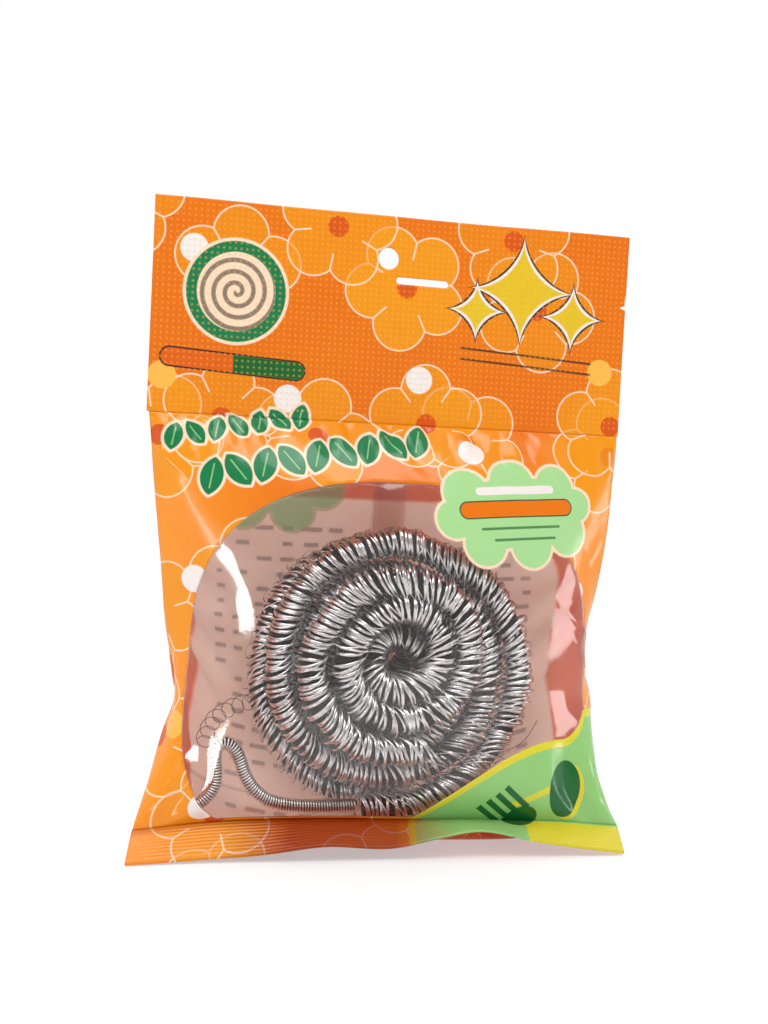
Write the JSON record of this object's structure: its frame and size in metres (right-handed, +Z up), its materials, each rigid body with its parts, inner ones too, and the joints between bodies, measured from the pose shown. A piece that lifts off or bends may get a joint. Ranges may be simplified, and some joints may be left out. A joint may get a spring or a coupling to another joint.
{
  "type": "pot scrubber in a hanging pouch",
  "caption": "Coiled steel-wire pot scrubber with a spring hanging loop, sealed in a printed film pouch with a clear window and a punched header.",
  "frame": {"origin": "on the floor, in the middle of the pouch's width and depth", "axes": "+Z up, +X to the right across the pouch, the printed front faces -Y"},
  "size_m": [0.15, 0.0557, 0.192],
  "materials": {
    "printed_film": "gloss",
    "clear_film": "gloss",
    "back_film": "gloss",
    "curled_wire": "polished",
    "spring_wire": "polished"
  },
  "bodies": {
    "pouch": {"front_panel": "printed_film", "window_film": "clear_film", "back_panel_left": "back_film", "back_panel_right": "back_film", "back_fin_seal": "back_film", "bottom_panel": "back_film"},
    "header": {"header_front_ply": "printed_film", "header_back_ply": "back_film"},
    "bottom_seal": {"bottom_seal_front_ply": "printed_film", "bottom_seal_back_ply": "back_film"},
    "scrubber": {"scrubber_coil_front": "curled_wire", "scrubber_coil_back": "curled_wire"},
    "loop": {"hanging_loop": "spring_wire"}
  },
  "joints": [
    {"name": "header_fold", "type": "hinge", "parent": "pouch", "child": "header", "pos_m": [0, 0, 0.12835], "axis": [1, 0, 0], "range_deg": [-85, 85], "stiffness_Nm_per_rad": 0.002},
    {"name": "bottom_seal_fold", "type": "hinge", "parent": "pouch", "child": "bottom_seal", "pos_m": [0, -0.01741, 0.0095], "axis": [1, 0, 0], "range_deg": [-60, 0], "stiffness_Nm_per_rad": 0.0001},
    {"name": "scrubber_slide", "type": "slide", "parent": "pouch", "child": "scrubber", "axis": [0, 0, 1], "range_m": [0, 0.01]},
    {"name": "loop_swing", "type": "hinge", "parent": "scrubber", "child": "loop", "pos_m": [-0.006, -0.00475, 0.0101], "axis": [0, 1, 0], "range_deg": [-5, 5], "stiffness_Nm_per_rad": 0.0005}
  ]
}
